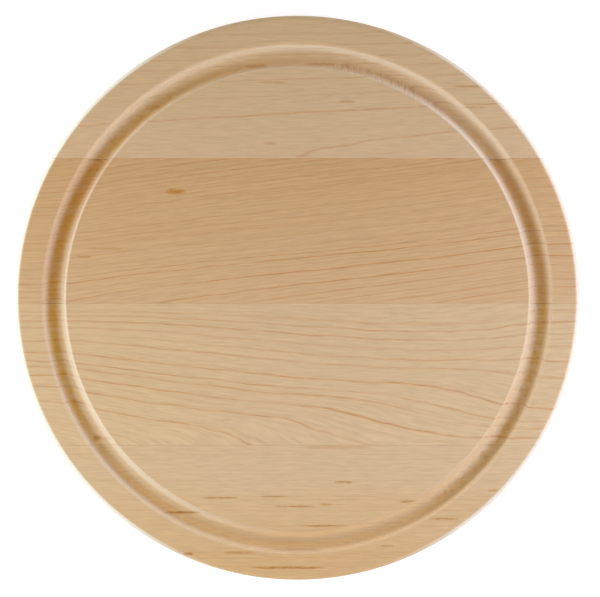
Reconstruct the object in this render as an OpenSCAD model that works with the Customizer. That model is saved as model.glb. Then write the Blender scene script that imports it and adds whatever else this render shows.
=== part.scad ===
// Round cutting board of hard maple: four staves glued edge to edge, turned to a disc,
// rounded over along both edges of the rim, with a juice groove cut into the upper face.
// Millimetres. The board lies on its underside, with the Z axis through its centre,
// the grain of every stave along X, and the far side towards +Y.

/* [Board] */
// Diameter of the finished board
board_d = 305; // [220:1:420]
// Thickness of the finished board
board_t = 19; // [15:0.5:40]
// Radius of the round-over along the upper edge of the rim
top_edge_r = 3.2; // [1:0.1:5]
// Radius of the round-over along the lower edge of the rim
bottom_edge_r = 3.2; // [1:0.1:5]

/* [Staves] */
// Width of the inner stave on the far side of the middle joint
far_inner_w = 78; // [50:0.5:90]
// Width of the inner stave on the near side of the middle joint
near_inner_w = 76.5; // [50:0.5:90]
// Place of the middle joint across the board, measured from its centre
middle_joint_y = -3; // [-15:0.5:15]
// Thickness of the adhesive film that each joint holds
glue_t = 0.1; // [0.05:0.01:0.3]

/* [Juice groove] */
// Width of the rim, from the side of the board to the outer edge of the groove
rim_w = 14.6; // [8:0.1:40]
// Diameter of the round-nosed cutter that makes the groove
cutter_d = 12.7; // [6:0.1:20]
// Depth of the groove below the upper face
groove_depth = 4.8; // [2:0.1:10]
// Width of the bevel that breaks both edges of the groove
edge_break_w = 0.4; // [0.2:0.1:1]

/* [Hidden] */

// Facets of every full turn in the preview mesh
$fn = 180;

// Colour of the cured adhesive
glue_color = [0.70, 0.53, 0.33];

board_r = board_d / 2;
cutter_r = cutter_d / 2;

// Height of the curved part of the groove's wall: above it, a deep groove's walls are upright
curve_h = min(groove_depth, cutter_r);
// Half the width that the cutter leaves at the upper face
mouth_half_w = sqrt(pow(cutter_r, 2) - pow(cutter_r - curve_h, 2));
// Half the width of the groove, with its broken edges
groove_half_w = mouth_half_w + edge_break_w;
// Radius of the circle that the middle of the groove runs along
groove_r = board_r - rim_w - groove_half_w;

// Spans of the pieces across the board, as [near side, far side]
middle_glue_y = [middle_joint_y - glue_t / 2, middle_joint_y + glue_t / 2];
far_inner_y = [middle_glue_y[1], middle_glue_y[1] + far_inner_w];
far_glue_y = [far_inner_y[1], far_inner_y[1] + glue_t];
far_outer_y = [far_glue_y[1], board_d];
near_inner_y = [middle_glue_y[0] - near_inner_w, middle_glue_y[0]];
near_glue_y = [near_inner_y[0] - glue_t, near_inner_y[0]];
near_outer_y = [-board_d, near_glue_y[0]];

// What a cutter of radius r takes off an outer corner at the origin, which opens up and right
module round_over(r) {
    difference() {
        translate([-r, -r]) square(2 * r);
        translate([-r, -r]) circle(r);
    }
}

// Cross-section of the groove, with its middle on X = 0 and the upper face at Y = 0.
// The cutter's round nose has straight sides above it, and the bevel that breaks
// the edges has half the slope of the wall there.
module groove_section() {
    cutter_y = cutter_r - groove_depth;
    bevel_end_x = mouth_half_w / 2 + edge_break_w;
    translate([0, cutter_y]) circle(cutter_r);
    translate([-cutter_r, cutter_y]) square([cutter_d, groove_depth + cutter_d]);
    polygon([
        [-bevel_end_x, -curve_h / 2],
        [bevel_end_x, -curve_h / 2],
        [groove_half_w, 0],
        [groove_half_w, cutter_d],
        [-groove_half_w, cutter_d],
        [-groove_half_w, 0]
    ]);
}

// Half cross-section of the board, from its centre line out to the rim
module board_section() {
    difference() {
        square([board_r, board_t]);
        translate([board_r, board_t]) round_over(top_edge_r);
        translate([board_r, 0]) mirror([0, 1]) round_over(bottom_edge_r);
        translate([groove_r, board_t]) groove_section();
    }
}

// The whole board as it comes off the router, before it is told apart into its pieces
module routed_disc() {
    rotate_extrude() board_section();
}

// The part of the disc that lies within a span across the board
module disc_between(span_y) {
    intersection() {
        routed_disc();
        translate([-board_d, span_y[0], -board_t])
            cube([2 * board_d, span_y[1] - span_y[0], 3 * board_t]);
    }
}

module far_outer_stave() {
    color([0.77, 0.65, 0.51]) disc_between(far_outer_y);
}

module far_inner_stave() {
    color([0.79, 0.65, 0.48]) disc_between(far_inner_y);
}

module near_inner_stave() {
    color([0.83, 0.70, 0.55]) disc_between(near_inner_y);
}

module near_outer_stave() {
    color([0.82, 0.69, 0.53]) disc_between(near_outer_y);
}

module far_glue_line() {
    color(glue_color) disc_between(far_glue_y);
}

module middle_glue_line() {
    color(glue_color) disc_between(middle_glue_y);
}

module near_glue_line() {
    color(glue_color) disc_between(near_glue_y);
}

far_outer_stave();
far_glue_line();
far_inner_stave();
middle_glue_line();
near_inner_stave();
near_glue_line();
near_outer_stave();
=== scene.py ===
# %% [markdown]
# # A round maple cutting board
# The board is a flat disc, glued up from four staves of hard maple and turned to a circle.
# A round-bottomed juice groove runs inside its rim, and both edges of the rim are rounded over.
# The construction model gives every piece its place. Here each of its seven pieces gets
# its finished shape and its wood or glue, and the board is lit and seen as in the photograph.

# %% Load the construction model
import math
from collections import namedtuple

import bpy
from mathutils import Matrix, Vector


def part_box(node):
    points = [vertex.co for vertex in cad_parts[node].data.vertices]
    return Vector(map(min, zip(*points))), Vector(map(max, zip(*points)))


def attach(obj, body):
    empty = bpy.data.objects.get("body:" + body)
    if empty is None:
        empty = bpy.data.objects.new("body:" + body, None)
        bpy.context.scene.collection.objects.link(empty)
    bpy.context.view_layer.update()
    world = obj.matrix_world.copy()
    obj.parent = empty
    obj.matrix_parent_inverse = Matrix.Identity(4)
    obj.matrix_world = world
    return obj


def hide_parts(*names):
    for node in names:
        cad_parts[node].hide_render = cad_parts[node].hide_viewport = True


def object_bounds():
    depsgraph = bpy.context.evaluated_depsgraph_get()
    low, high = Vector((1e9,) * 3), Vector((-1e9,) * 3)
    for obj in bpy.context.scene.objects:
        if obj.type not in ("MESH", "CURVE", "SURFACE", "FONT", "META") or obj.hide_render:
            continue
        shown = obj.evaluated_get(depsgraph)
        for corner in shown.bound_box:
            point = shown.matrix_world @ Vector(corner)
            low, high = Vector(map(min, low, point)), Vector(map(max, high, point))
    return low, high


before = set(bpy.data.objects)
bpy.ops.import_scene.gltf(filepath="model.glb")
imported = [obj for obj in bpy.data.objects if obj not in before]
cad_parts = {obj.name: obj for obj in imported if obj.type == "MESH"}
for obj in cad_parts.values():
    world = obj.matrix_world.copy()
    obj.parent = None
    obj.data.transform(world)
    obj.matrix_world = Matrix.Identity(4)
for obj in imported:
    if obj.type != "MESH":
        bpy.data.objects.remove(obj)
cad_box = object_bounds()
print("construction model:", len(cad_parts), "pieces, from", cad_box[0], "to", cad_box[1])

# %% [markdown]
# ## Formulas made of nodes
# Both the shapes and the wood are worked out by node trees. A tree of single Math nodes is hard
# to read as code, so a small class stands for "a number that the tree works out". Adding or
# multiplying two such numbers adds the node, and a formula reads as it would on paper.

# %% Nodes and their sockets
def put(tree, socket, value):
    """Links a socket to another node's result, or sets it to a constant."""
    if isinstance(value, Field):
        tree.links.new(value.socket, socket)
    elif isinstance(value, bpy.types.NodeSocket):
        tree.links.new(value, socket)
    else:
        socket.default_value = value


def add(tree, kind, values=(), **settings):
    """Adds a node with its settings, and fills the sockets that are named in values."""
    node = tree.nodes.new(kind)
    for name, setting in settings.items():
        setattr(node, name, setting)
    for name, value in dict(values).items():
        sockets = [socket for socket in node.inputs if socket.name == name and socket.enabled]
        put(tree, sockets[0], value)
    return node


print("helpers ready: put, add")

# %% Numbers that a tree works out
class Field:
    """A number that a node tree works out at each point of a surface."""

    def __init__(self, tree, socket):
        self.tree = tree
        self.socket = socket

    def through(self, kind, others, **settings):
        """The result of a new node, whose first inputs are this number and the others."""
        node = add(self.tree, kind, **settings)
        for socket, value in zip(node.inputs, (self, *others)):
            put(self.tree, socket, value)
        return Field(self.tree, node.outputs[0])

    def math(self, operation, *others):
        """The result of a Math node."""
        return self.through("ShaderNodeMath", others, operation=operation)

    def __add__(self, other):
        return self.math("ADD", other)

    def __sub__(self, other):
        return self.math("SUBTRACT", other)

    def __rsub__(self, other):
        return self.math("MULTIPLY_ADD", -1.0, other)

    def __mul__(self, other):
        return self.math("MULTIPLY", other)

    def __truediv__(self, other):
        return self.math("DIVIDE", other)

    def __pow__(self, other):
        return self.math("POWER", other)

    __radd__ = __add__
    __rmul__ = __mul__

    def rise(self, low, high):
        """0 below low, 1 above high, and a smooth rise between them."""
        limits = (low, high, 0.0, 1.0)
        return self.through("ShaderNodeMapRange", limits, interpolation_type="SMOOTHSTEP")

    def fall(self, low, high):
        """1 below low, 0 above high, and a smooth fall between them."""
        limits = (low, high, 1.0, 0.0)
        return self.through("ShaderNodeMapRange", limits, interpolation_type="SMOOTHSTEP")


def highest(numbers):
    """The highest of several numbers at each point."""
    top, *others = numbers
    for number in others:
        top = top.math("MAXIMUM", number)
    return top


def at_least(amount, least):
    """An amount from 0 to 1, squeezed so that it never falls below least."""
    return amount * (1.0 - least) + least


print("helpers ready: Field, highest, at_least")

# %% Vectors and noise
def vector(x, y, z):
    """Three numbers as one vector."""
    tree = next(part.tree for part in (x, y, z) if isinstance(part, Field))
    return add(tree, "ShaderNodeCombineXYZ", {"X": x, "Y": y, "Z": z}).outputs[0]


def split(tree, place):
    """A vector as three numbers."""
    parts = add(tree, "ShaderNodeSeparateXYZ", {"Vector": place})
    return [Field(tree, socket) for socket in parts.outputs]


def noise(x, y, z, detail=2.0, roughness=0.5):
    """Smooth noise between 0 and 1, about 0.5, with one swing for each unit of x, y and z."""
    place = vector(x, y, z)
    tree = place.id_data
    found = add(tree, "ShaderNodeTexNoise", {
        "Vector": place, "Scale": 1.0, "Detail": detail, "Roughness": roughness})
    return Field(tree, found.outputs[0])


def dice(number):
    """A random number between 0 and 1 for each whole number."""
    found = add(number.tree, "ShaderNodeTexWhiteNoise", {"W": number}, noise_dimensions="1D")
    return Field(number.tree, found.outputs[0])


print("helpers ready: vector, split, noise, dice")

# %% [markdown]
# ## The turned board as a rule
# Cut through from the centre to the rim, the board's outline is five arcs joined by straight
# lines: the lower and the upper round-over, the eased outer edge of the groove, the groove
# itself, and its eased inner edge. A modeller could draw that outline and spin it.
# Geometry Nodes hold it as a rule instead, so that one tree makes every stave and every film
# of glue from the same named sizes, and a board of another size needs only other numbers.

# %% Sizes of the board, in millimetres
MM = 0.001
BOARD_R = 152.5
BOARD_T = 19.0
ROUND_OVER_R = 3.2
RIM_W = 14.6
CUTTER_R = 6.35
GROOVE_DEPTH = 4.8
EDGE_BREAK_W = 0.4
mouth_half_w = math.sqrt(CUTTER_R ** 2 - (CUTTER_R - GROOVE_DEPTH) ** 2)
GROOVE_R = BOARD_R - RIM_W - EDGE_BREAK_W - mouth_half_w
board_size = {
    "Board radius": BOARD_R * MM,
    "Board thickness": BOARD_T * MM,
    "Upper round-over": ROUND_OVER_R * MM,
    "Lower round-over": ROUND_OVER_R * MM,
    "Groove radius": GROOVE_R * MM,
    "Groove depth": GROOVE_DEPTH * MM,
    "Cutter radius": CUTTER_R * MM,
    "Edge easing": 0.9 * MM,
    "Chatter depth": 0.12 * MM,
    "Chatter pitch": 2.6 * MM,
}
for label, size in board_size.items():
    print(f"{label}: {size / MM:.2f} mm")

# %% [markdown]
# Every size is an input of the tree, with its own name, so that anyone who opens the modifier
# can change it there. Two more inputs say from where to where across the board a piece reaches.
# A modifier knows its inputs by an identifier and not by their name, so those are kept.

# %% Named inputs of the tree
stave_tree = bpy.data.node_groups.new("turned stave", "GeometryNodeTree")
stave_tree.is_modifier = True
stave_tree.interface.new_socket("Geometry", in_out="OUTPUT", socket_type="NodeSocketGeometry")
entry = stave_tree.nodes.new("NodeGroupInput")
socket_id = {}
for label in (*board_size, "Near side", "Far side"):
    item = stave_tree.interface.new_socket(label, in_out="INPUT", socket_type="NodeSocketFloat")
    item.subtype = "DISTANCE"
    item.default_value = board_size.get(label, 0.0)
    socket_id[label] = item.identifier
other_inputs = {"Segments": "NodeSocketInt", "Seed": "NodeSocketInt", "Wood": "NodeSocketMaterial"}
for label, kind in other_inputs.items():
    item = stave_tree.interface.new_socket(label, in_out="INPUT", socket_type=kind)
    socket_id[label] = item.identifier
given = {socket.name: Field(stave_tree, socket) for socket in entry.outputs if socket.name}
print("the tree has", len(socket_id), "named inputs")

# %% [markdown]
# The outline and the spin come from one flat grid. Its columns are the points of the outline,
# numbered from the underside round to the cutting face, and its rows go once round the board.
# A curve swept round a circle would do as well, but here a point's number tells all about it:
# each arc has the same number of points, so the number says which arc it is on and how far
# along. Index Switch then picks that arc's centre, radius and angles.

# %% The grid that becomes the board
ARCS = 5
ARC_POINTS = 18
OUTLINE_POINTS = ARCS * ARC_POINTS
TURN = 2 * math.pi
HALF_GRID = 0.5
grid = add(stave_tree, "GeometryNodeMeshGrid", {
    "Size X": 2 * HALF_GRID, "Size Y": 2 * HALF_GRID,
    "Vertices X": OUTLINE_POINTS, "Vertices Y": given["Segments"] + 1.0})
position = add(stave_tree, "GeometryNodeInputPosition").outputs[0]
grid_x, grid_y, grid_z = split(stave_tree, position)
point = ((grid_x + HALF_GRID) * float(OUTLINE_POINTS - 1)).math("ROUND")
arc = ((point + 0.5) / float(ARC_POINTS)).math("FLOOR")
along = (point - arc * float(ARC_POINTS)) / float(ARC_POINTS - 1)
around = (grid_y + HALF_GRID) * -TURN
print("outline of", OUTLINE_POINTS, "points on", ARCS, "arcs")

# %% [markdown]
# A round-nosed cutter leaves faint ripples where it crosses the grain. A bump in the material
# could draw them, but they are real dents, so they are made in the shape: the cutter's radius
# swells and shrinks a little along the groove, only in the patches where the wood tore, and not
# at the eased edges. A patch is listed with its middle and half its width, in degrees.

# %% Ripples of the cutter
RIPPLE_PATCHES = ((72.0, 11.0), (-14.0, 18.0), (-33.0, 9.0), (214.0, 12.0), (141.0, 10.0))
PATCH_CORE = 0.3
RIPPLE_SLANT = 5.0
TORN_SPOTS = 9.0


def ripple_patch(middle, half_width):
    """1 in the core of a patch, and 0 outside it."""
    apart = (around - math.radians(middle)).math("COSINE")
    edge, core = math.radians(half_width), math.radians(half_width * PATCH_CORE)
    return apart.rise(math.cos(edge), math.cos(core))


patches = highest([ripple_patch(*patch) for patch in RIPPLE_PATCHES])
ripples = (given["Groove radius"] * TURN / given["Chatter pitch"]).math("ROUND")
ripple = (around * ripples + along * RIPPLE_SLANT).math("SINE")
torn_spots = noise(
    around.math("COSINE") * TORN_SPOTS, around.math("SINE") * TORN_SPOTS, given["Seed"])
within_arc = (along * math.pi).math("SINE")
ripple = ripple * patches * torn_spots * within_arc * given["Chatter depth"]
print("cutter ripples in", len(RIPPLE_PATCHES), "patches")

# %% [markdown]
# The eased edges touch both the cutter's arc and the flat face. Their centres lie below the
# face by their own radius, and away from the cutter's centre by the sum of both radii, which
# gives the groove's half width. The angle of the line between the centres says where the arcs
# meet, and so how far each arc turns.

# %% Where a point of the outline lies
board_r, board_t = given["Board radius"], given["Board thickness"]
upper_r, lower_r = given["Upper round-over"], given["Lower round-over"]
groove_r, groove_depth = given["Groove radius"], given["Groove depth"]
cutter_r, easing_r = given["Cutter radius"], given["Edge easing"]
cutter_rise = cutter_r - groove_depth + easing_r
groove_half = ((cutter_r + easing_r) ** 2.0 - cutter_rise ** 2.0).math("SQRT")
meet = cutter_rise.math("ARCTAN2", groove_half)
QUARTER = math.pi / 2


def for_this_arc(*values):
    """The value of the arc that the point is on."""
    switch = add(stave_tree, "GeometryNodeIndexSwitch", {"Index": arc}, data_type="FLOAT")
    while len(switch.index_switch_items) < ARCS:
        switch.index_switch_items.new()
    for socket, value in zip(switch.inputs[1:], values):
        put(stave_tree, socket, value)
    return Field(stave_tree, switch.outputs[0])


centre_r = for_this_arc(
    board_r - lower_r, board_r - upper_r,
    groove_r + groove_half, groove_r, groove_r - groove_half)
centre_z = for_this_arc(
    lower_r, board_t - upper_r,
    board_t - easing_r, board_t + cutter_r - groove_depth, board_t - easing_r)
arc_r = for_this_arc(lower_r, upper_r, easing_r, cutter_r + ripple, easing_r)
begin = for_this_arc(-QUARTER, 0.0, QUARTER, meet * -1.0, meet)
sweep = for_this_arc(QUARTER, QUARTER, QUARTER - meet, meet * 2.0 - math.pi, QUARTER - meet)
angle = begin + along * sweep
out = centre_r + arc_r * angle.math("COSINE")
up = centre_z + arc_r * angle.math("SINE")
print(ARCS, "arcs joined into one outline")

# %% [markdown]
# The spun grid is open at the underside and at the cutting face, inside the groove. Two flat
# discs close them, with their points on those of the grid, and merging makes one closed solid.

# %% From the outline to a closed board
WELD = 0.001 * MM
spun = add(stave_tree, "GeometryNodeSetPosition", {
    "Geometry": grid.outputs[0],
    "Position": vector(out * around.math("COSINE"), out * around.math("SINE"), up)})
face = add(stave_tree, "GeometryNodeMeshCircle", {
    "Vertices": given["Segments"], "Radius": groove_r - groove_half}, fill_type="NGON")
lifted = add(stave_tree, "GeometryNodeTransform", {
    "Geometry": face.outputs[0], "Translation": vector(0.0, 0.0, board_t)})
underside = add(stave_tree, "GeometryNodeMeshCircle", {
    "Vertices": given["Segments"], "Radius": board_r - lower_r}, fill_type="NGON")
turned_over = add(stave_tree, "GeometryNodeFlipFaces", {"Mesh": underside.outputs[0]})
joined = add(stave_tree, "GeometryNodeJoinGeometry")
for part in (spun, lifted, turned_over):
    stave_tree.links.new(part.outputs[0], joined.inputs[0])
board = add(stave_tree, "GeometryNodeMergeByDistance", {
    "Geometry": joined.outputs[0], "Distance": WELD})
print("a board of three surfaces, welded within", WELD / MM, "mm")

# %% [markdown]
# A real board is glued up first and turned afterwards, so its staves fit each other without a
# step. The tree does the same: a slab as wide as the stave keeps the part of the turned board
# that the stave fills. Flat faces are then shaded flat, and the turned ones smooth.

# %% From the board to a stave
WELL_PAST = 3.0
near, far = given["Near side"], given["Far side"]
slab = add(stave_tree, "GeometryNodeMeshCube", {
    "Size": vector(board_r * WELL_PAST, far - near, board_t * WELL_PAST)})
slab_at = add(stave_tree, "GeometryNodeTransform", {
    "Geometry": slab.outputs[0], "Translation": vector(0.0, (near + far) / 2.0, board_t / 2.0)})
cut = add(stave_tree, "GeometryNodeMeshBoolean", operation="INTERSECT", solver="MANIFOLD")
for part in (board, slab_at):
    stave_tree.links.new(part.outputs[0], cut.inputs[1])
flat = (grid_z.math("COMPARE", 0.0, WELD) + grid_z.math("COMPARE", board_t, WELD)
        + grid_y.math("COMPARE", near, WELD) + grid_y.math("COMPARE", far, WELD))
shaded = add(stave_tree, "GeometryNodeSetShadeSmooth", {
    "Geometry": cut.outputs[0], "Shade Smooth": flat.math("LESS_THAN", 0.5)})
realized = add(stave_tree, "GeometryNodeRealizeInstances", {"Geometry": shaded.outputs[0]})
dressed = add(stave_tree, "GeometryNodeSetMaterial", {
    "Geometry": realized.outputs[0], "Material": given["Wood"].socket})
leave = stave_tree.nodes.new("NodeGroupOutput")
stave_tree.links.new(dressed.outputs[0], leave.inputs[0])
print("the tree has", len(stave_tree.nodes), "nodes")

# %% [markdown]
# ## Maple
# Each stave comes from its own place in a trunk, and that place decides its figure. Growth rings
# are tubes about the pith, the trunk's centre line. Where the pith runs close below the face,
# the lines lie far apart, and where it lies off to one side, they crowd together. So the figure
# is not painted on: the tree of nodes works out each point's distance from a leaning pith, in
# millimetres, and puts a thin dark line at the end of every year's growth. The lines then run
# over the edge of the board and through the groove as they do in real wood.

# %% Materials and colours
def new_material(name):
    """A material, its tree of nodes and its shader."""
    material = bpy.data.materials.new(name)
    material.use_nodes = True
    tree = material.node_tree
    return material, tree, tree.nodes["Principled BSDF"]


def place_in_mm(tree):
    """A point's own place on the board, as three numbers in millimetres."""
    source = tree.nodes.new("ShaderNodeTexCoord")
    scaled = add(tree, "ShaderNodeVectorMath", {"Scale": 1 / MM}, operation="SCALE")
    put(tree, scaled.inputs[0], source.outputs["Object"])
    return split(tree, scaled.outputs[0])


def srgb(red, green, blue):
    """A colour as a paint chart gives it, from 0 to 255, made linear for the shader."""
    def linear(level):
        share = level / 255
        return share / 12.92 if share <= 0.04045 else ((share + 0.055) / 1.055) ** 2.4
    return (linear(red), linear(green), linear(blue), 1.0)


def blend(tree, amount, first, second, how="MIX"):
    """Two colours mixed by an amount from 0 to 1."""
    node = tree.nodes.new("ShaderNodeMix")
    node.data_type = "RGBA"
    node.blend_type = how
    for index, value in ((0, amount), (6, first), (7, second)):
        put(tree, node.inputs[index], value)
    return node.outputs[2]


print("helpers ready: new_material, place_in_mm, srgb, blend")

# %% [markdown]
# No trunk is straight. Along a stave its lines drift across it, and beside a hidden branch they
# fold downwards. Noise could bend them at random. Here they follow the board's own lines
# instead: the drift is a polynomial in the place along and across the stave, which levels off
# towards the stave's ends, and the fold is a smooth step below a slanting line.

# %% The course of the lines
DRIFT_LENGTH = 100.0
DRIFT_WIDTH = 40.0
DRIFT_END = 128.0
DRIFT_EASE = 25.0


def polynomial(variable, numbers):
    """numbers[0] + numbers[1] * variable + numbers[2] * variable ** 2 and so on."""
    total = numbers[-1]
    for number in reversed(numbers[:-1]):
        total = variable * total + number
    return total


def course(x, y, rings):
    """Where a line that runs through a point would lie without drift and fold, in millimetres."""
    x = x.math("SMOOTH_MIN", DRIFT_END, DRIFT_EASE).math("SMOOTH_MAX", -DRIFT_END, DRIFT_EASE)
    across = (y - rings["middle"]) / DRIFT_WIDTH
    rows = [polynomial(across, row) for row in rings["drift"]]
    straight = y - polynomial(x / DRIFT_LENGTH, [0.0, *rows])
    if "fold" in rings:
        fold = rings["fold"]
        above = y - polynomial(x, [fold["height"], fold["slant"], fold["bend"]])
        straight = straight + above.fall(-fold["width"] / 2, fold["width"] / 2) * fold["drop"]
    return straight


print("drift and fold ready")

# %% [markdown]
# The rings are uneven: years differ in width and in how dark they end. The lines that can be
# told apart in the photograph are listed one by one, by their distance from the pith. The many
# faint ones between them come from a random row of years, so that nobody has to list them.

# %% Growth lines
LINE_REACH = 110.0
LINE_STRENGTH = 1.15
PALEST_YEAR = 0.2
YEAR_RUN = 3.5
YEAR_SHIFT = 1.2


def listed_lines(x, distance, grade, rings, lines):
    """Darkness of the lines that are listed one by one."""
    dark = []
    for at, left, right in lines:
        near_line = ((distance - at).math("ABSOLUTE") / grade).fall(0.0, rings["half_width"])
        dark.append(near_line * (x * ((right - left) / (2 * LINE_REACH)) + (left + right) / 2))
    return highest(dark).math("MAXIMUM", 0.0) * LINE_STRENGTH


def faint_lines(distance, rings):
    """Darkness of a random row of years."""
    year = distance / rings["width"]
    year = year + (noise(year / YEAR_RUN, 0.5, 0.5, detail=0.0) - 0.5) * YEAR_SHIFT
    number = year.math("FLOOR")
    grown = year - number
    return grown ** rings["sharpness"] * at_least(dice(number), PALEST_YEAR) * rings["faint"]


print("growth lines ready")

# %% [markdown]
# Along the stave a line strays, fades and breaks off and comes back. Between the lines there are
# fine fibres along the grain, short pores, and broad warm and pale areas. All of these are
# noise, drawn out along the grain, and they differ in how long, wide and deep a swing is, and in
# the levels between which it shows.

# %% The figure of a stave
Grain = namedtuple("Grain", "length width depth")
STRAYING = Grain(22.0, 12.0, 12.0)
FADING = Grain(38.0, 2.2, 2.2)
BREAKING = Grain(7.0, 0.8, 0.8)
FIBRES = Grain(11.0, 0.7, 0.7)
PORES = Grain(5.0, 0.22, 0.22)
TONES = Grain(90.0, 12.0, 12.0)
FADED = (0.28, 0.6)
FADED_LEAST = 0.5
BROKEN = (0.3, 0.62)
BROKEN_LEAST = 0.5
PORE_SHOWS = (0.62, 0.78)
LEAST_GRADE = 0.08
LEAST_STRETCH = 0.25


def grain_noise(x, y, z, grain, detail=2.0, roughness=0.5):
    """Noise with swings of a length along the grain, a width across it and a depth."""
    return noise(x / grain.length, y / grain.width, z / grain.depth, detail, roughness)


def figure(x, y, z, rings, lines):
    """Darkness of the growth lines, fibres, pores and broad tone at a point in millimetres."""
    across = course(x, y, rings) - rings["pith_y"]
    below = z - rings["pith_z"] - x * rings["lean_z"]
    straying = (grain_noise(x, y, z, STRAYING) - 0.5) * rings["wobble"]
    distance = (across * across + below * below).math("SQRT") + straying

    # How fast that distance grows across the face: it keeps the listed lines evenly wide
    stretch = course(x, y + 1.0, rings) - course(x, y, rings)
    grade = (across / distance).math("ABSOLUTE").math("MAXIMUM", LEAST_GRADE)
    grade = grade * stretch.math("MAXIMUM", LEAST_STRETCH)

    line = listed_lines(x, distance, grade, rings, lines) + faint_lines(distance, rings)
    fading = grain_noise(x, across, below, FADING).rise(*FADED)
    breaking = grain_noise(x, across, below, BREAKING).rise(*BROKEN)
    line = line * at_least(fading, FADED_LEAST) * at_least(breaking, BROKEN_LEAST)

    fibre = grain_noise(x, across, below, FIBRES, roughness=0.6)
    pore = grain_noise(x, across, below, PORES, detail=1.0).rise(*PORE_SHOWS)
    tone = grain_noise(x, across, below, TONES)
    return line, fibre, pore, tone


print("figure ready, with fibres", FIBRES.width, "mm wide and pores", PORES.width, "mm wide")

# %% [markdown]
# Mineral streaks are short dark dashes along the grain, where the living tree took up salts, and
# flecks are their broader, yellower kin. They reach only a few millimetres into the wood.
# A picture could hold them, but a soft oval with ragged ends for each one stays sharp at any size.

# %% Streaks and flecks
RAGGED = Grain(3.0, 0.7, 0.7)
RAGGED_ENDS = (0.3, 0.6)
RAGGED_LEAST = 0.4
STREAK_DEPTH = (4.0, 9.0)


def marks(x, y, z, spots):
    """Darkness of streaks or flecks at a point in millimetres."""
    ovals = []
    for middle_x, middle_y, half_length, half_width, dark in spots:
        lengthwise = ((x - middle_x) / half_length) ** 2.0
        aside = ((y - middle_y) / half_width) ** 2.0
        ovals.append((lengthwise * lengthwise + aside).fall(0.0, 1.0) * dark)
    ragged = grain_noise(x, y, z, RAGGED).rise(*RAGGED_ENDS)
    return highest(ovals) * at_least(ragged, RAGGED_LEAST) * (BOARD_T - z).fall(*STREAK_DEPTH)


print("streaks and flecks ready")

# %% [markdown]
# ## Colours of the groove and the edges
# Handling and tools leave their own colour, and the shade and highlights of the light in and around
# the groove are painted into the colour as well. It changes round the board, because the grain runs
# one way, the groove runs round and the light comes from the sides. It could be painted on by hand.
# Formulas need no picture: they take a point's direction from the board's centre, its distance out
# from the groove's middle, and its drop below the face, in millimetres. Of the direction, side goes
# from -1 at the left to 1 at the right, and far from -1 at the near side to 1 at the far side.
# Across is 1 where the groove runs straight across the grain and 0 where it runs along it. Slant
# and steep are largest between these, where it meets the grain at 45 degrees. In the photograph the
# groove's colours lie a little nearer to the worker than the middle of the groove, and so they do
# here.

# %% A place by the groove
Place = namedtuple("Place", "x y z side far across slant steep far_end near_end out drop")
Strip = namedtuple("Strip", "starts full fades gone")
COLOR_LEAN = 0.45


def place_by_groove(x, y, z):
    """A point's direction from the centre, and its place by the groove's middle."""
    radius = (x * x + y * y).math("SQRT")
    side = x / radius
    far = y / radius
    slant = side * far
    return Place(
        x, y, z, side=side, far=far, across=side * side,
        slant=slant, steep=slant.math("ABSOLUTE"),
        far_end=far.math("MAXIMUM", 0.0), near_end=(far * -1.0).math("MAXIMUM", 0.0),
        out=radius - GROOVE_R + far * COLOR_LEAN, drop=BOARD_T - z)


def strip(number, where):
    """1 within a strip of the groove or the rim, 0 outside it, and soft edges."""
    return number.rise(where.starts, where.full) * number.fall(where.fades, where.gone)


def by_direction(place, level, **shares):
    """A level, plus shares of what is named of the direction, such as side or across."""
    amount = level
    for name, share in shares.items():
        amount = getattr(place, name) * share + amount
    return amount


print(f"places by a groove {2 * GROOVE_R:.1f} mm across")

# %% [markdown]
# The groove is browner than the faces. Part of this is oil and the cutter's heat, and part is
# painted
# shade: the band lies where the groove is in shade, most where it crosses the grain, on the left
# and the right, where the low lights from the sides don't reach its bottom. So the brown band moves
# inwards on the far side and outwards on the near one, onto the wall that gets the least light.

# %% Oil and painted shade in the groove
# Painted shade, partly oil and heat: the brown of the groove where it lies in shade
OIL_AND_SHADE_TINT = (1.0, 0.75, 0.2, 1.0)
BAND_MIDDLE = 1.2
BAND_SHIFT = -4.0
INNER_LIMIT = 3.0
OUTER_LIMIT = 1.7
INNER_FLANK = (-4.0, -1.3)
OUTER_FLANK = (1.3, 4.0)
OIL_PATCHES = Grain(10.0, 4.0, 6.0)
PATCHY = (0.3, 0.68)
PATCHY_SHARE = 0.6
PATCHY_LEAST = 0.62
TINTED_DROP = (0.8, 2.6)
FAR_TINTED_DROP = (0.02, 0.4)
FAR_TINTED = (0.5, 1.0)


def oil_and_painted_shade(place):
    """How brown the groove is from oil and heat and from painted shade, from 0 to 1."""
    middle = by_direction(place, BAND_MIDDLE, far=BAND_SHIFT)
    inner_flank = (place.out - middle.math("MINIMUM", INNER_LIMIT)).rise(*INNER_FLANK)
    outer_flank = (place.out - middle.math("MINIMUM", OUTER_LIMIT)).fall(*OUTER_FLANK)
    strength = by_direction(place, 0.16, side=-0.13, across=0.64)
    patchy = grain_noise(place.x, place.y, place.z, OIL_PATCHES, detail=3.0).rise(*PATCHY)
    strength = strength * (patchy * PATCHY_SHARE + PATCHY_LEAST)
    below_edge = place.drop.rise(*TINTED_DROP)
    far_edge = place.drop.rise(*FAR_TINTED_DROP) * place.far.rise(*FAR_TINTED)
    return inner_flank * outer_flank * strength * below_edge.math("MAXIMUM", far_edge)


print("oil ready")
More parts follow.
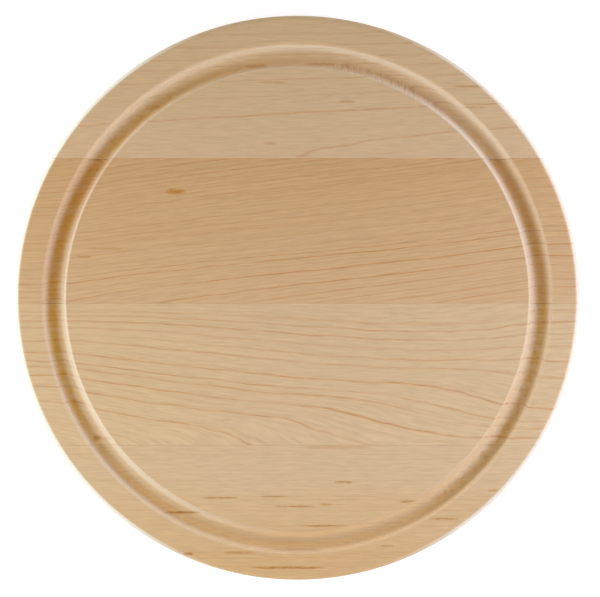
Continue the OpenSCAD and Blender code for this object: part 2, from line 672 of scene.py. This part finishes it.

# %% [markdown]
# Pale colour is painted where the light falls brightly: painted highlights. They lie on the
# groove's inner wall, most where it meets the grain at a slant, on its outer wall at the far side,
# along both of its edges, and on the rounded edge of the rim at both ends of the staves.

# %% Painted highlights
# The colour of the painted highlights
HIGHLIGHT_PALE = srgb(238, 246, 238)
INNER_WALL = Strip(-7.0, -5.8, -4.4, -2.2)
INNER_EDGE = Strip(-7.1, -6.5, -5.9, -5.0)
FAR_WALL = Strip(1.5, 4.5, 5.4, 6.2)
OUTER_EDGE = Strip(3.0, 5.0, 6.0, 7.2)
LEAST_INNER = 0.04
LEAST_OUTER = 0.05
FAR_SIDE = (0.3, 1.0)
FAR_WALL_PALE = 0.1
RIM_DROP = Strip(0.03, 0.5, 1.2, 3.6)
RIM_OUT = (14.0, 17.0)
STAVE_ENDS = (0.05, 0.4)


def painted_highlight(place):
    """How much painted highlight lies on the groove's walls and edges and the rim's rounded edge, 0
    to 1.
    """
    wall = by_direction(place, 0.0, side=-0.04, across=0.14, slant=0.25, steep=0.05)
    left = (place.across - place.side).math("MAXIMUM", 0.0)
    inner_edge = left * by_direction(place, 0.05, slant=-0.04) + LEAST_INNER
    not_left = (place.side + 1.0).math("MINIMUM", 1.0)
    far_wall = place.far.rise(*FAR_SIDE) * not_left * FAR_WALL_PALE
    outer_edge = by_direction(place, 0.06, side=0.04, far=-0.02, across=0.03, slant=0.1)
    rim = by_direction(place, 0.42, side=-0.12) * place.across.rise(*STAVE_ENDS)
    return (strip(place.out, INNER_WALL) * wall.math("MAXIMUM", 0.0)
            + strip(place.out, INNER_EDGE) * inner_edge
            + strip(place.out, FAR_WALL) * far_wall
            + strip(place.out, OUTER_EDGE) * outer_edge.math("MAXIMUM", LEAST_OUTER)
            + strip(place.drop, RIM_DROP) * place.out.rise(*RIM_OUT) * rim)


print("crushed fibres ready")

# %% [markdown]
# Painted light makes the groove lighter where it is lit more: its bottom, most on the far side, its
# near wall on the near side, and, as a painted highlight, its outer edge all round.

# %% Painted light in the groove
# Painted light: how much lighter the groove is made where it is lit
PAINTED_LIGHT_TINT = (1.4, 1.4, 1.4, 1.0)
LIT_BOTTOM = Strip(-6.4, -5.0, 3.6, 5.0)
BOTTOM_LIGHT = 0.06
BOTTOM_FAR = 0.32
NEAR_WALL = Strip(0.0, 2.0, 5.0, 6.4)
LIT_OUTER_EDGE = Strip(4.2, 5.4, 5.6, 6.6)
EDGE_LIGHT = 0.33
EDGE_NEAR_RIGHT = 0.8


def painted_light(place):
    """How much painted light lifts the groove's colour, from 0 to 1."""
    bottom = place.far_end * place.far_end * BOTTOM_FAR + BOTTOM_LIGHT
    near_wall = place.near_end * place.near_end * by_direction(place, 0.22, side=-0.2)
    near_right = (place.near_end * place.side).math("MAXIMUM", 0.0)
    outer_edge = near_right * EDGE_NEAR_RIGHT + EDGE_LIGHT
    return (strip(place.out, LIT_BOTTOM) * bottom
            + strip(place.out, NEAR_WALL) * near_wall
            + strip(place.out, LIT_OUTER_EDGE) * outer_edge)


print("clean cuts ready")

# %% [markdown]
# On the far right the cutter ran against the grain and left short torn ticks across the inner
# wall, and on the near right blotches in the bottom. They are darker, and a little deeper, than
# the wood around them.

# %% Torn grain
TORN_TINT = (0.82, 0.68, 0.5, 1.0)
TICKED_WALL = Strip(-6.9, -6.1, -3.4, -0.5)
TICKED_SIDE = Strip(0.08, 0.2, 0.5, 0.72)
TICKED_FAR = (0.2, 0.5)
TICKS = Grain(0.75, 6.0, 6.0)
TICK_SHOWS = (0.45, 0.68)
BLOTCHED_BOTTOM = Strip(-2.5, -0.5, 2.5, 4.5)
BLOTCHED_SIDE = (0.5, 0.65)
BLOTCHED_NEAR = (-0.3, -0.1)
BLOTCHES = Grain(2.8, 4.6, 3.0)
BLOTCH_SHOWS = (0.42, 0.68)
BLOTCH_SHARE = 0.7


def torn_grain(place):
    """Ticks across the inner wall on the far right, and blotches on the near right, from 0 to 1."""
    ticks = grain_noise(place.x, place.y, place.z, TICKS).rise(*TICK_SHOWS)
    far_right = strip(place.side, TICKED_SIDE) * place.far.rise(*TICKED_FAR)
    blotches = grain_noise(place.x, place.y, place.z, BLOTCHES, detail=3.0).rise(*BLOTCH_SHOWS)
    near_right = place.side.rise(*BLOTCHED_SIDE) * place.far.fall(*BLOTCHED_NEAR) * BLOTCH_SHARE
    return (strip(place.out, TICKED_WALL) * ticks * far_right
            + strip(place.out, BLOTCHED_BOTTOM) * blotches * near_right)


print("torn grain ready")

# %% [markdown]
# ## One material for each stave
# The wood is sanded and oiled: satin, with a faint sheen across the fibres. Its colour is built
# up as the wood is: first the pale and the warm tone, then fibres and pores, growth lines,
# streaks, and what the tools did, with the painted shade, painted light and painted highlights of
# the groove and the rim last. Lines and pores lie a little lower than the fibres, which a fine bump
# shows, because dents of some hundredths of a millimetre would need too fine a mesh.

# %% A stave's material
LINE_TINT = (0.78, 0.52, 0.25, 1.0)
STREAK = srgb(156, 104, 28)
FLECK = srgb(164, 114, 34)
TONE_SHARE = 0.5
FIBRE_SHOWS = (0.2, 0.8)
FIBRE_SHADE = 0.15
PORE_SHADE = 0.06
LEAST_ROUGH = 0.54
FIBRE_ROUGH = 0.12
LINE_DIP = 0.4
FIBRE_RISE = 0.5
PORE_DIP = 0.6
TORN_DIP = 1.5


def maple(name, rings, lines, streaks, flecks, pale, warm):
    """The wood of one stave."""
    material, tree, shader = new_material(name)
    x, y, z = place_in_mm(tree)
    line, fibre, pore, tone = figure(x, y, z, rings, lines)
    low, high = rings["warmer"]
    warmth = tone * TONE_SHARE - TONE_SHARE / 2 + (y - low) / (high - low)
    shade = 1.0 - (fibre.rise(*FIBRE_SHOWS) * FIBRE_SHADE + pore * PORE_SHADE)
    color = blend(tree, warmth, pale, warm)
    color = blend(tree, 1.0, color, vector(shade, shade, shade), "MULTIPLY")
    color = blend(tree, line.math("MINIMUM", 1.0), color, LINE_TINT, "MULTIPLY")
    color = blend(tree, marks(x, y, z, streaks), color, STREAK)
    color = blend(tree, marks(x, y, z, flecks), color, FLECK)

    place = place_by_groove(x, y, z)
    torn = torn_grain(place)
    # Brown of oil and heat in the groove, and painted shade
    color = blend(tree, oil_and_painted_shade(place), color, OIL_AND_SHADE_TINT, "MULTIPLY")
    color = blend(tree, torn, color, TORN_TINT, "MULTIPLY")
    # Painted light in the groove, and a painted highlight on its outer edge
    color = blend(tree, painted_light(place), color, PAINTED_LIGHT_TINT, "MULTIPLY")
    # Painted highlights on the groove and on the rim's rounded edge
    color = blend(tree, painted_highlight(place), color, HIGHLIGHT_PALE)
    put(tree, shader.inputs["Base Color"], color)

    put(tree, shader.inputs["Roughness"], fibre * FIBRE_ROUGH + LEAST_ROUGH)
    shader.inputs["Specular IOR Level"].default_value = 0.4
    shader.inputs["Sheen Weight"].default_value = 0.1
    shader.inputs["Sheen Roughness"].default_value = 0.5
    height = line * -LINE_DIP + fibre * FIBRE_RISE - pore * PORE_DIP - torn * TORN_DIP
    bump = add(tree, "ShaderNodeBump", {
        "Strength": 0.35, "Distance": 0.06 * MM, "Height": height})
    put(tree, shader.inputs["Normal"], bump.outputs[0])
    print("material", name, "with", len(tree.nodes), "nodes")
    return material


# %% [markdown]
# ## The four staves
# Each stave gets its wood in a cell of its own, from the far side to the near side. Its rings say
# where the pith lies, how far the lines stray and drift, how wide a line and a year are, how
# dark and sharp the faint years end, and from where to where across the board the wood turns
# warmer. A growth line is listed with its distance from the pith and its darkness at the left
# and at the right end. A streak or fleck is listed with its middle, half its length, half its
# width and its darkness. All of them lie where the photograph shows them.

# %% [markdown]
# The far outer stave was sawn over the pith, so its lines are few and open into long arches.
# It is greyish and pale, with some short mineral streaks near the rim.

# %% Wood of the far outer stave
woods = {}
woods["far_outer_stave"] = maple(
    "maple far outer",
    rings={
        "half_width": 0.8, "middle": 110.0, "drift": (),
        "pith_y": 75.0, "pith_z": -66.0, "lean_z": 0.015, "wobble": 0.3,
        "width": 0.9, "sharpness": 5.0, "faint": 0.1, "warmer": (70.0, 165.0),
    },
    lines=(
        (84.95, 0.45, 0.45), (88.5, 0.5, 0.5), (91.6, 0.15, 0.25), (95.2, 0.25, 0.3),
        (98.3, 0.3, 0.3), (101.0, 0.3, 0.35), (104.6, 0.3, 0.35), (108.4, 0.3, 0.3),
    ),
    streaks=(
        (-13.0, 116.1, 8.5, 0.9, 0.4), (26.7, 105.7, 4.6, 0.8, 0.65), (-22.0, 125.2, 7.0, 1.6, 0.6),
        (12.3, 126.2, 9.0, 1.3, 0.6), (93.4, 113.9, 11.0, 0.8, 0.6), (95.0, 102.6, 7.0, 0.8, 0.45),
    ),
    flecks=((-14.8, 83.2, 4.0, 1.0, 0.45), (-78.0, 102.8, 5.0, 1.6, 0.4)),
    pale=srgb(198, 165, 122),
    warm=srgb(192, 160, 113),
)

# %% [markdown]
# The far inner stave has close lines that rise to the right, and is browner towards its far edge.
# A small knot-like fleck lies on the left.

# %% Wood of the far inner stave
woods["far_inner_stave"] = maple(
    "maple far inner",
    rings={
        "half_width": 0.55, "middle": 35.3,
        "drift": ((9.5, 2.3, 3.4, -4.6), (-0.5, -1.4, 2.2), (1.3, -0.4), (0.3,)),
        "pith_y": -95.0, "pith_z": -6.0, "lean_z": 0.0, "wobble": 1.6,
        "width": 2.1, "sharpness": 5.0, "faint": 0.62, "warmer": (-3.0, 75.0),
    },
    lines=(
        (77.2, 0.3, 0.3), (83.1, 0.5, 0.5), (89.2, 0.5, 0.5), (94.1, 0.3, 0.3),
        (99.3, 0.6, 0.5), (104.8, 0.85, 0.8), (111.8, 0.75, 1.05), (118.9, 0.85, 0.8),
        (121.5, 0.35, 0.4), (126.2, 0.3, 0.4), (132.7, 0.2, 0.2), (136.8, 0.3, 0.3),
        (140.9, 0.35, 0.4), (145.1, 0.35, 0.3), (155.7, 0.15, 0.45), (159.6, 0.05, 0.45),
        (162.2, 0.25, 0.35), (167.0, 0.2, 0.35), (169.7, 0.35, 0.35), (172.3, 0.35, 0.35),
        (175.6, 0.5, 0.6), (178.9, 0.2, 0.9),
    ),
    streaks=((-114.8, 22.0, 4.0, 0.9, 0.6),),
    flecks=((-65.6, 57.2, 6.0, 2.0, 1.0), (-104.0, 26.5, 11.0, 0.8, 0.5)),
    pale=srgb(197, 161, 114),
    warm=srgb(191, 151, 99),
)

# %% [markdown]
# The near inner stave is the palest. Its lines wander, and on the way to the right they fold
# down beside a hidden branch.

# %% Wood of the near inner stave
woods["near_inner_stave"] = maple(
    "maple near inner",
    rings={
        "half_width": 0.85, "middle": -40.0,
        "drift": ((-8.7, -3.1, 9.9), (3.8, -2.4), (1.2, 2.2), (0.3,)),
        "fold": {"height": -84.0, "slant": 0.205, "bend": 0.00028, "width": 58.0, "drop": 30.0},
        "pith_y": -190.0, "pith_z": -6.0, "lean_z": 0.0, "wobble": 2.2,
        "width": 2.4, "sharpness": 5.0, "faint": 0.38, "warmer": (-100.0, 60.0),
    },
    lines=(
        (113.8, 0.3, 0.8), (121.4, 0.65, 0.65), (128.5, 0.6, 0.6), (134.9, 0.6, 0.75),
        (140.0, 0.55, 0.5), (143.5, 0.55, 0.4), (149.1, 0.6, 0.75), (157.4, 0.4, 0.3),
        (162.1, 0.2, 0.55), (167.5, 0.35, 0.35), (172.5, 0.55, 0.5), (176.7, 0.3, 0.5),
        (180.5, 0.25, 0.35),
    ),
    streaks=((-40.0, -66.0, 6.0, 0.6, 0.25),),
    flecks=((-108.5, -76.0, 2.6, 1.8, 0.75), (-103.0, -76.2, 4.0, 0.9, 0.35)),
    pale=srgb(203, 172, 127),
    warm=srgb(198, 166, 121),
)

# %% [markdown]
# The near outer stave has fine, straight lines, and the most mineral streaks. It is browner
# towards the rim.

# %% Wood of the near outer stave
woods["near_outer_stave"] = maple(
    "maple near outer",
    rings={
        "half_width": 0.5, "middle": -110.0, "drift": (),
        "pith_y": -420.0, "pith_z": -60.0, "lean_z": 0.0, "wobble": 0.6,
        "width": 2.7, "sharpness": 4.0, "faint": 0.36, "warmer": (-95.0, -165.0),
    },
    lines=(
        (286.6, 0.15, 0.25), (292.3, 0.2, 0.25), (317.2, 0.1, 0.2), (322.5, 0.15, 0.2),
        (331.0, 0.1, 0.2),
    ),
    streaks=(
        (-41.9, -107.9, 11.0, 0.7, 0.75), (-12.0, -107.2, 8.0, 0.7, 0.65),
        (-1.3, -112.5, 12.0, 0.7, 0.7), (24.9, -99.5, 5.6, 0.9, 0.8),
        (15.0, -123.0, 14.0, 0.7, 0.75), (59.6, -110.0, 5.2, 0.8, 0.9),
        (79.0, -119.2, 9.0, 0.9, 0.65), (-62.1, -116.2, 11.5, 0.9, 1.0),
        (-31.4, -137.4, 9.5, 1.0, 0.6), (-1.3, -136.1, 16.0, 0.7, 0.45),
        (-59.0, -138.2, 3.2, 1.1, 1.0), (-5.3, -145.6, 22.0, 0.9, 0.95),
        (48.4, -133.7, 4.4, 0.7, 0.5), (105.5, -104.0, 3.2, 0.8, 0.5),
    ),
    flecks=((15.4, -111.6, 4.0, 1.0, 0.5), (22.0, -80.6, 20.0, 1.2, 0.35)),
    pale=srgb(200, 169, 125),
    warm=srgb(194, 154, 96),
)

# %% [markdown]
# ## Glue
# The glue between the staves is a tenth of a millimetre thick. Yellow wood glue cures to a brown,
# slightly clear film, which shows as a fine dark thread and varies where the joint was tighter.
# A dark line in the wood's colour could stand for it, but a film of its own is what the joint has.

# %% Cured glue
THIN_FILM = srgb(128, 88, 50)
THICK_FILM = srgb(172, 130, 86)
FILM_PATCHES = Grain(18.0, 40.0, 6.0)
FILM_SHOWS = (0.3, 0.7)
FILM_LEAST_ROUGH = 0.4
FILM_ROUGH = 0.2
glue, glue_tree, glue_shader = new_material("cured glue")
thick = grain_noise(*place_in_mm(glue_tree), FILM_PATCHES, detail=3.0)
film = blend(glue_tree, thick.rise(*FILM_SHOWS), THIN_FILM, THICK_FILM)
put(glue_tree, glue_shader.inputs["Base Color"], film)
put(glue_tree, glue_shader.inputs["Roughness"], thick * FILM_ROUGH + FILM_LEAST_ROUGH)
glue_bump = add(glue_tree, "ShaderNodeBump", {
    "Strength": 0.3, "Distance": 0.03 * MM, "Height": thick})
put(glue_tree, glue_shader.inputs["Normal"], glue_bump.outputs[0])
print("material cured glue with", len(glue_tree.nodes), "nodes")

# %% [markdown]
# ## The seven pieces
# Each piece is the same turned board, cut to the width that its node has in the construction
# model. The two outer staves reach past the rim, so that the slab only cuts them at their joint.
# The modifier could stay on the piece, but then nobody could export or edit it without the tree.
# So the finished mesh is made plain, and the modifier is removed once it has done its work.

# %% Make a piece from the tree
SEGMENTS = 1440
SEED = 7
RIM_CLEARANCE = 10 * MM


def turned_piece(name, node, material):
    """One piece of the board, in the place of a node of the construction model."""
    low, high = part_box(node)
    sizes = dict(board_size)
    sizes["Near side"] = low.y if low.y > cad_box[0].y + MM else low.y - RIM_CLEARANCE
    sizes["Far side"] = high.y if high.y < cad_box[1].y - MM else high.y + RIM_CLEARANCE
    sizes.update({"Segments": SEGMENTS, "Seed": SEED, "Wood": material})
    blank = bpy.data.meshes.new(name)
    piece = bpy.data.objects.new(name, blank)
    bpy.context.scene.collection.objects.link(piece)
    modifier = piece.modifiers.new("turned stave", "NODES")
    modifier.node_group = stave_tree
    for label, value in sizes.items():
        modifier[socket_id[label]] = value
    shaped = piece.evaluated_get(bpy.context.evaluated_depsgraph_get())
    mesh = bpy.data.meshes.new_from_object(shaped)
    piece.modifiers.remove(modifier)
    piece.data = mesh
    mesh.name = name
    bpy.data.meshes.remove(blank)
    triangles = sum(len(polygon.vertices) - 2 for polygon in mesh.polygons)
    print(f"{name}: {triangles} triangles, {(high.y - low.y) / MM:.2f} mm wide")
    return piece


# %% [markdown]
# The staves and the films of glue are one rigid body. Each takes the place of its node.

# %% Staves and films of glue
pieces = {}
for node, wood in woods.items():
    name = node.replace("stave", "wood")
    pieces[name] = turned_piece(name, node, wood)
    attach(pieces[name], "root")
    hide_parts(node)
    "maple_" + node.replace("_stave", "")
for node in ("far_glue_line", "middle_glue_line", "near_glue_line"):
    name = node.replace("line", "film")
    pieces[name] = turned_piece(name, node, glue)
    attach(pieces[name], "root")
    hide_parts(node)
print("made", len(pieces), "pieces")

# %% [markdown]
# ## Floor, light and camera
# The photograph was taken against pure white. The board lies on a white floor here, and the
# camera looks straight down. A floor that is only lit would be grey in places, so this one also
# glows a little.

# %% White floor
REACH = 4.0
BELOW_BOARD = -0.2 * MM
FLOOR_GREY = (0.35, 0.35, 0.35, 1.0)
WHITE = (1.0, 1.0, 1.0, 1.0)
corners = [(x, y, BELOW_BOARD) for x, y in (
    (-REACH, -REACH), (REACH, -REACH), (REACH, REACH), (-REACH, REACH))]
floor_mesh = bpy.data.meshes.new("floor")
floor_mesh.from_pydata(corners, [], [(0, 1, 2, 3)])
floor = bpy.data.objects.new("floor", floor_mesh)
bpy.context.scene.collection.objects.link(floor)
floor_paint, floor_tree, paint = new_material("white floor")
print("material white floor with", len(floor_tree.nodes), "nodes")
paint.inputs["Base Color"].default_value = FLOOR_GREY
paint.inputs["Roughness"].default_value = 0.9
paint.inputs["Specular IOR Level"].default_value = 0.0
paint.inputs["Emission Color"].default_value = WHITE
paint.inputs["Emission Strength"].default_value = 0.75
floor_mesh.materials.append(floor_paint)
print("floor", 2 * REACH, "m wide")

# %% [markdown]
# The groove shows where the light came from: soft and low from both sides, weaker from the near
# side, and little from straight above. One broad light would leave the groove flat. So three soft
# boxes stand on each side and one on the near side, and the white surroundings add little. The
# light from the right is cooler than that from the left.

# %% Soft lights
LIGHT_DISTANCE = 0.8
SOFT_BOX = (0.42, 0.20)
SURROUNDINGS = 0.15
WARM = (1.0, 1.01, 1.02)
FAIR = (1.0, 1.03, 1.15)
COOL = (1.0, 1.06, 1.44)


def soft_box(name, azimuth, elevation, power, color):
    """A soft box that faces the board, from a direction in degrees, with its power in watts."""
    lamp = bpy.data.lights.new(name, "AREA")
    lamp.shape = "RECTANGLE"
    lamp.size, lamp.size_y = SOFT_BOX
    lamp.energy = power
    lamp.color = color
    light = bpy.data.objects.new(name, lamp)
    turn, climb = math.radians(azimuth), math.radians(elevation)
    level = math.cos(climb)
    way = Vector((level * math.cos(turn), level * math.sin(turn), math.sin(climb)))
    light.location = way * LIGHT_DISTANCE + Vector((0, 0, board_size["Board thickness"]))
    light.rotation_euler = (-way).to_track_quat("-Z", "Y").to_euler()
    light.visible_camera = False
    bpy.context.scene.collection.objects.link(light)
    print(f"{name}: {azimuth} degrees round, {elevation} up, {power} W")


soft_box("left box far", azimuth=150, elevation=10, power=3.0, color=WARM)
soft_box("left box", azimuth=180, elevation=25, power=2.3, color=WARM)
soft_box("left box near", azimuth=210, elevation=45, power=1.9, color=WARM)
soft_box("right box far", azimuth=30, elevation=10, power=3.0, color=FAIR)
soft_box("right box", azimuth=0, elevation=25, power=3.3, color=COOL)
soft_box("right box near", azimuth=330, elevation=45, power=1.3, color=COOL)
soft_box("near bounce", azimuth=270, elevation=25, power=2.25, color=WARM)
world = bpy.data.worlds.new("studio")
world.use_nodes = True
backdrop = world.node_tree.nodes["Background"]
backdrop.inputs["Color"].default_value = WHITE
backdrop.inputs["Strength"].default_value = SURROUNDINGS
bpy.context.scene.world = world

# %% [markdown]
# The camera's height could be tried out by eye. Here it follows from the size of the board in the
# photograph, where its radius is 282 pixels in a picture 600 pixels wide. The board isn't quite in
# the middle of the picture, so the camera stands a little to the side of its centre.

# %% Camera
IMAGE_WIDTH = 600
IMAGE_HEIGHT = 597
BOARD_RADIUS_PX = 282.0
BOARD_CENTRE_PX = (297.3, 297.7)
view = bpy.data.cameras.new("camera")
view.lens = 120.0
view.sensor_width = 36.0
focal_px = view.lens / view.sensor_width * IMAGE_WIDTH
rim_top = board_size["Board thickness"] - board_size["Upper round-over"]
metres_per_px = board_size["Board radius"] / BOARD_RADIUS_PX
camera = bpy.data.objects.new("camera", view)
camera.location = (
    (IMAGE_WIDTH / 2 - BOARD_CENTRE_PX[0]) * metres_per_px,
    (BOARD_CENTRE_PX[1] - IMAGE_HEIGHT / 2) * metres_per_px,
    rim_top + focal_px * metres_per_px,
)
bpy.context.scene.collection.objects.link(camera)
bpy.context.scene.camera = camera
bpy.context.scene.view_settings.view_transform = "Standard"
print("camera", camera.location)
